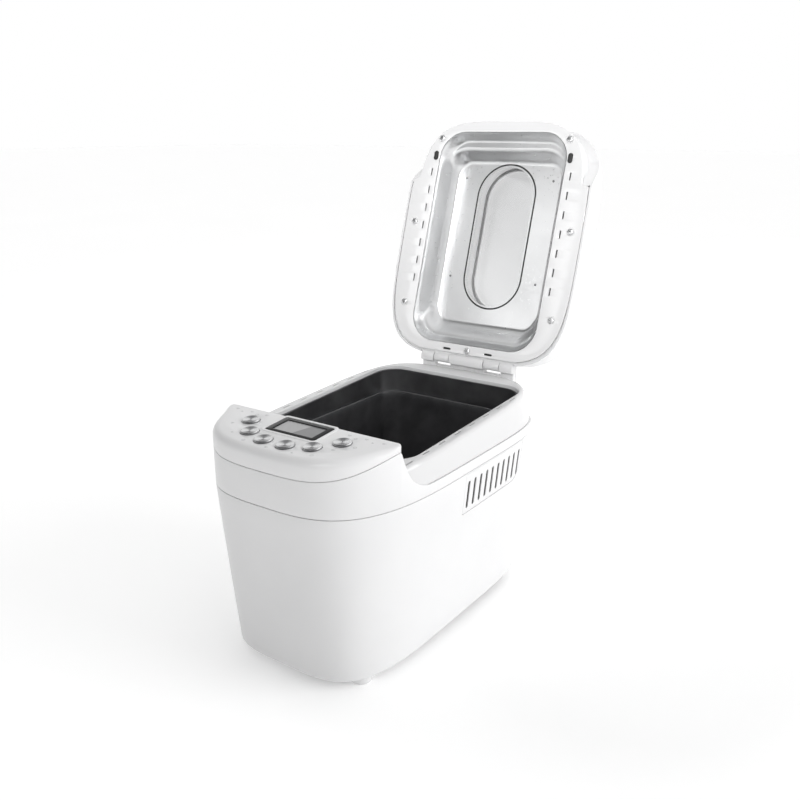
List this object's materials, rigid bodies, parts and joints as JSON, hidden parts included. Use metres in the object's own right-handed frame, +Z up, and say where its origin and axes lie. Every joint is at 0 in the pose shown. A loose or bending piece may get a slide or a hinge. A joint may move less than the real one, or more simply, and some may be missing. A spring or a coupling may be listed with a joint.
{
  "type": "bread machine",
  "caption": "Tall rounded bread machine with a front control panel, an open hinged lid with a long window, a lift-out pan and a belt-driven kneading paddle.",
  "frame": {"origin": "middle of the footprint of the whole machine with its lid open, at the underside of the feet; the body's own centre is 61.5 mm in front of it", "axes": "+X to the machine's right-hand side seen from the front, +Y to the rear (hinge side), +Z up; the front with the control panel faces -Y"},
  "size_m": [0.2392, 0.4771, 0.5095],
  "materials": {
    "white_plastic": "satin moulded plastic",
    "gloss_white": "high-gloss moulded plastic",
    "grey_plastic": "matt moulded plastic",
    "black_plastic": "glossy black display frame",
    "circuit_board": "green circuit board with parts",
    "black_rubber": "matt rubber",
    "spun_steel": "circular brushed metal",
    "drawn_steel": "deep-drawn stainless steel",
    "plated_steel": "zinc-plated sheet steel",
    "nonstick": "dark non-stick coating",
    "window_glass": "clear toughened glass",
    "display_screen": "grey reflective display"
  },
  "bodies": {
    "housing": {"lower_housing": "white_plastic", "base_plate": "grey_plastic", "foot_front_left": "white_plastic", "foot_front_right": "white_plastic", "foot_rear_left": "white_plastic", "foot_rear_right": "white_plastic", "vent_grille_right": "white_plastic", "vent_grille_left": "white_plastic", "upper_collar": "white_plastic", "deck": "gloss_white", "control_panel": "white_plastic", "display_frame": "black_plastic", "display_window": "window_glass", "display_module": "display_screen", "control_board": "circuit_board", "power_board": "circuit_board", "oven_chamber": "plated_steel", "heating_element": "drawn_steel", "temperature_sensor": "plated_steel", "pan_seat": "plated_steel", "drive_bearing": "plated_steel", "drive_belt": "black_rubber", "motor": "plated_steel", "motor_bracket": "plated_steel", "cord_gland": "black_rubber", "hinge_bracket": "white_plastic", "hinge_pin": "plated_steel"},
    "lid": {"lid_shell": "white_plastic", "lid_liner": "gloss_white", "lid_reflector": "drawn_steel", "window_gasket": "black_rubber", "inner_window": "window_glass", "outer_window": "window_glass", "lid_pad_left": "black_rubber", "lid_pad_right": "black_rubber", "lid_screw_front_left": "plated_steel", "lid_screw_front_right": "plated_steel", "lid_screw_middle_left": "plated_steel", "lid_screw_middle_right": "plated_steel", "lid_screw_rear_left": "plated_steel", "lid_screw_rear_right": "plated_steel", "lid_screw_rear_middle": "plated_steel"},
    "button_left_rear": {"button_left_rear": "spun_steel"},
    "button_left_middle": {"button_left_middle": "spun_steel"},
    "button_left_front": {"button_left_front": "spun_steel"},
    "button_right_front": {"button_right_front": "spun_steel"},
    "button_right_middle": {"button_right_middle": "spun_steel"},
    "button_right_rear": {"button_right_rear": "spun_steel"},
    "drive": {"drive_shaft": "plated_steel", "large_pulley": "grey_plastic"},
    "motor_rotor": {"motor_pulley": "plated_steel"},
    "pan": {"bread_pan": "nonstick"},
    "handle": {"pan_handle": "drawn_steel"},
    "paddle": {"pan_shaft": "plated_steel", "kneading_paddle": "nonstick"}
  },
  "joints": [
    {"name": "lid_hinge", "type": "hinge", "parent": "housing", "child": "lid", "pos_m": [0, 0.1175, 0.2381], "axis": [-1, 0, 0], "range_deg": [-109.8, 0]},
    {"name": "button_left_rear_press", "type": "slide", "parent": "housing", "child": "button_left_rear", "axis": [0, 0.0847, -0.9964], "range_m": [0, 0.0012], "stiffness_N_per_m": 500, "springref_m": -0.001},
    {"name": "button_left_middle_press", "type": "slide", "parent": "housing", "child": "button_left_middle", "axis": [0, 0.0847, -0.9964], "range_m": [0, 0.0012], "stiffness_N_per_m": 500, "springref_m": -0.001},
    {"name": "button_left_front_press", "type": "slide", "parent": "housing", "child": "button_left_front", "axis": [0, 0.0847, -0.9964], "range_m": [0, 0.0012], "stiffness_N_per_m": 500, "springref_m": -0.001},
    {"name": "button_right_front_press", "type": "slide", "parent": "housing", "child": "button_right_front", "axis": [0, 0.0847, -0.9964], "range_m": [0, 0.0012], "stiffness_N_per_m": 500, "springref_m": -0.001},
    {"name": "button_right_middle_press", "type": "slide", "parent": "housing", "child": "button_right_middle", "axis": [0, 0.0847, -0.9964], "range_m": [0, 0.0012], "stiffness_N_per_m": 500, "springref_m": -0.001},
    {"name": "button_right_rear_press", "type": "slide", "parent": "housing", "child": "button_right_rear", "axis": [0, 0.0847, -0.9964], "range_m": [0, 0.0012], "stiffness_N_per_m": 500, "springref_m": -0.001},
    {"name": "drive_spin", "type": "hinge", "parent": "housing", "child": "drive", "pos_m": [0, -0.0335, 0.04], "axis": [0, 0, 1], "continuous": true},
    {"name": "motor_spin", "type": "hinge", "parent": "housing", "child": "motor_rotor", "pos_m": [0, -0.1865, 0.03], "axis": [0, 0, 1], "continuous": true},
    {"name": "pan_lift", "type": "slide", "parent": "housing", "child": "pan", "axis": [0, 0, 1], "range_m": [0, 0.2]},
    {"name": "handle_swing", "type": "hinge", "parent": "pan", "child": "handle", "pos_m": [0, -0.0335, 0.196], "axis": [0, 1, 0], "range_deg": [0, 180]},
    {"name": "paddle_spin", "type": "hinge", "parent": "pan", "child": "paddle", "pos_m": [0, -0.0335, 0.09], "axis": [0, 0, 1], "continuous": true}
  ],
  "couplings": [
    {"joint": "paddle_spin", "follows": "drive_spin", "ratio": 1},
    {"joint": "motor_spin", "follows": "drive_spin", "ratio": 5.5455}
  ]
}
